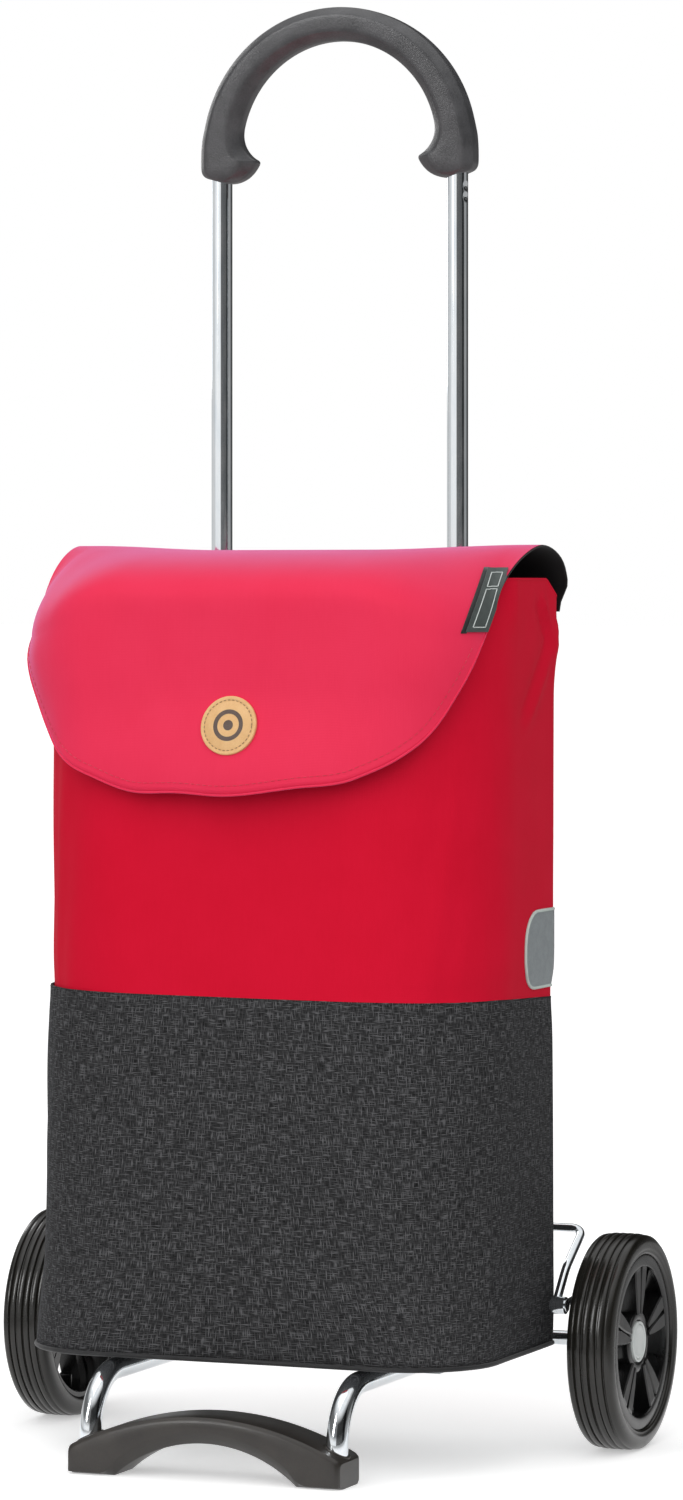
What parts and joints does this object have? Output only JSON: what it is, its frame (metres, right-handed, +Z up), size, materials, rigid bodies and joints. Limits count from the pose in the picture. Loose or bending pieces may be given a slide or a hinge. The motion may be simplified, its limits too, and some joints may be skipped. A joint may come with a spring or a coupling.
{
  "type": "shopping trolley",
  "caption": "Two-wheeled shopping trolley: half-ring handle on a tube frame, folding stand with an arched foot, and a tall fabric bag with a rounded flap.",
  "frame": {"origin": "on the floor, under the middle of the trolley's outline seen from above", "axes": "+Z up, +X to the right of someone who faces the bag's front, +Y from the bag's front to the uprights behind it"},
  "size_m": [0.462, 0.322, 1.015],
  "materials": {
    "chrome_steel": "polished chrome plate",
    "plated_strip": "zinc-plated strip",
    "handle_plastic": "soft-touch moulded, satin",
    "foot_plastic": "moulded, fine texture",
    "tyre_rubber": "ribbed solid rubber",
    "rim_plastic": "moulded, satin",
    "hub_plastic": "light grey moulded",
    "bush_plastic": "self-lubricating",
    "bag_red": "coated polyester",
    "flap_red": "coated polyester",
    "bag_melange": "melange woven polyester",
    "piping_black": "woven tape",
    "lining_black": "coated lining",
    "base_board": "stiff board",
    "reflective_film": "retro-reflective film",
    "badge_leather": "tan, stitched",
    "magnet_steel": "plated",
    "tag_woven": "woven label"
  },
  "bodies": {
    "frame": {"handle_grip": "handle_plastic", "handle_pins": "chrome_steel", "upright_tube_left": "chrome_steel", "upright_tube_right": "chrome_steel", "upright_eye_left": "foot_plastic", "upright_eye_right": "foot_plastic", "hanger_bar": "plated_strip", "hanger_rivets": "chrome_steel"},
    "undercarriage": {"axle": "chrome_steel", "wire_bow": "chrome_steel", "bow_link_left": "chrome_steel", "bow_link_right": "chrome_steel", "bow_rivets": "chrome_steel", "axle_spacers": "foot_plastic", "stand_bracket_left": "chrome_steel", "stand_bracket_right": "chrome_steel", "stand_tube_left": "chrome_steel", "stand_tube_right": "chrome_steel", "stand_rivets": "chrome_steel", "foot_arch": "foot_plastic", "foot_pins": "chrome_steel"},
    "bag": {"bag_lower": "bag_melange", "bag_upper": "bag_red", "bag_piping": "piping_black", "base_board": "base_board", "bag_lining": "lining_black", "reflector_left": "reflective_film", "reflector_right": "reflective_film", "hanging_hook_left": "foot_plastic", "hanging_hook_right": "foot_plastic", "hook_rivets": "chrome_steel", "bag_magnet": "magnet_steel"},
    "flap": {"flap_panel": "flap_red", "flap_badge": "badge_leather", "flap_magnet": "magnet_steel", "woven_tag": "tag_woven"},
    "wheel_left": {"wheel_left_tyre": "tyre_rubber", "wheel_left_rim": "rim_plastic", "wheel_left_bush": "bush_plastic", "wheel_left_cap_ring": "hub_plastic", "wheel_left_catch": "chrome_steel"},
    "button_left": {"hub_button_left": "hub_plastic"},
    "wheel_right": {"wheel_right_tyre": "tyre_rubber", "wheel_right_rim": "rim_plastic", "wheel_right_bush": "bush_plastic", "wheel_right_cap_ring": "hub_plastic", "wheel_right_catch": "chrome_steel"},
    "button_right": {"hub_button_right": "hub_plastic"}
  },
  "joints": [
    {"name": "stand_fold", "type": "hinge", "parent": "frame", "child": "undercarriage", "pos_m": [0, 0.086, 0.075], "axis": [-1, 0, 0], "range_deg": [0, 78]},
    {"name": "bag_lift", "type": "slide", "parent": "frame", "child": "bag", "axis": [0, 0, 1], "range_m": [0, 0.32]},
    {"name": "flap_open", "type": "hinge", "parent": "bag", "child": "flap", "pos_m": [0, 0.0695, 0.621], "axis": [-1, 0, 0], "range_deg": [0, 80]},
    {"name": "wheel_left_spin", "type": "hinge", "parent": "undercarriage", "child": "wheel_left", "pos_m": [-0.214, 0.086, 0.075], "axis": [1, 0, 0], "continuous": true},
    {"name": "hub_button_left_press", "type": "slide", "parent": "wheel_left", "child": "button_left", "axis": [1, 0, 0], "range_m": [0, 0.003], "stiffness_N_per_m": 600, "springref_m": -0.002},
    {"name": "wheel_right_spin", "type": "hinge", "parent": "undercarriage", "child": "wheel_right", "pos_m": [0.214, 0.086, 0.075], "axis": [1, 0, 0], "continuous": true},
    {"name": "hub_button_right_press", "type": "slide", "parent": "wheel_right", "child": "button_right", "axis": [-1, 0, 0], "range_m": [0, 0.003], "stiffness_N_per_m": 600, "springref_m": -0.002}
  ],
  "couplings": [
    {"joint": "bag_lift", "follows": "stand_fold", "m_per_rad": 0.23}
  ]
}
